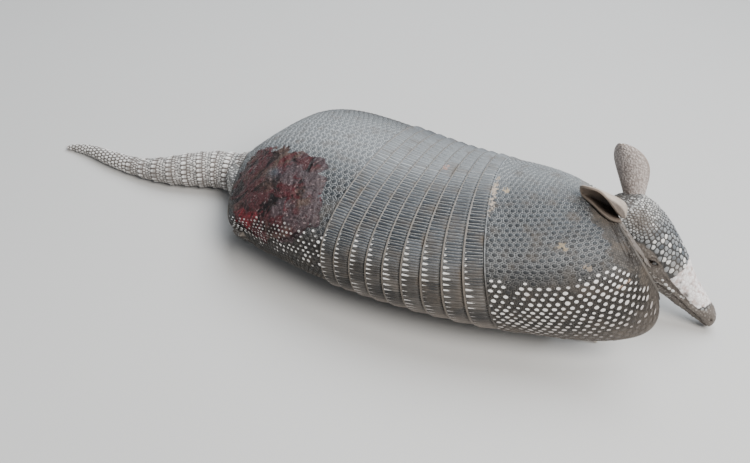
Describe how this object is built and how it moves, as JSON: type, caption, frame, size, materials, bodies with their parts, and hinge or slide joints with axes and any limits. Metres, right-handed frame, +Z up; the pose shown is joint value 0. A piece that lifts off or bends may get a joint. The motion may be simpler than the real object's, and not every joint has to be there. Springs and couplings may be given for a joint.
{
  "type": "nine-banded armadillo",
  "caption": "Life-size still model of a nine-banded armadillo lying on its belly, head lowered, tail curved along the floor.",
  "frame": {"origin": "on the floor, in the middle of the flat of the belly", "axes": "+X towards the head along the spine's middle, +Y towards the animal's left side, +Z up"},
  "size_m": [0.6163, 0.1962, 0.1377],
  "materials": {
    "shell": "bony scutes under thin horn, dark blue-grey with pale spots along the sides, a little glossy",
    "skin": "bare brown-grey skin with small scales, matt",
    "ear_skin": "thin pebbled skin, pink-brown, matt",
    "eye": "dark wet eye",
    "claw": "horn, grey-brown, half gloss",
    "tail_armour": "rings of small horny scales, pale grey-beige, half gloss"
  },
  "bodies": {
    "root": {"band_1": "shell", "band_2": "shell", "band_3": "shell", "band_4": "shell", "band_5": "shell", "band_6": "shell", "band_7": "shell", "band_8": "shell", "band_9": "shell", "ear_left": "ear_skin", "ear_right": "ear_skin", "eye_left": "eye", "eye_right": "eye", "fore_claw_left_1": "claw", "fore_claw_left_2": "claw", "fore_claw_left_3": "claw", "fore_claw_left_4": "claw", "fore_claw_right_1": "claw", "fore_claw_right_2": "claw", "fore_claw_right_3": "claw", "fore_claw_right_4": "claw", "fore_foot_left": "skin", "fore_foot_right": "skin", "fore_leg_left": "skin", "fore_leg_right": "skin", "head": "skin", "hind_claw_left_1": "claw", "hind_claw_left_2": "claw", "hind_claw_left_3": "claw", "hind_claw_left_4": "claw", "hind_claw_left_5": "claw", "hind_claw_right_1": "claw", "hind_claw_right_2": "claw", "hind_claw_right_3": "claw", "hind_claw_right_4": "claw", "hind_claw_right_5": "claw", "hind_foot_left": "skin", "hind_foot_right": "skin", "hind_leg_left": "skin", "hind_leg_right": "skin", "neck": "skin", "pelvic_shield": "shell", "scapular_shield": "shell", "tail_ring_1": "tail_armour", "tail_ring_2": "tail_armour", "tail_ring_3": "tail_armour", "tail_ring_4": "tail_armour", "tail_ring_5": "tail_armour", "tail_ring_6": "tail_armour", "tail_ring_7": "tail_armour", "tail_ring_8": "tail_armour", "tail_tip": "tail_armour", "tail_whip": "tail_armour", "trunk": "skin"}
  },
  "joints": []
}
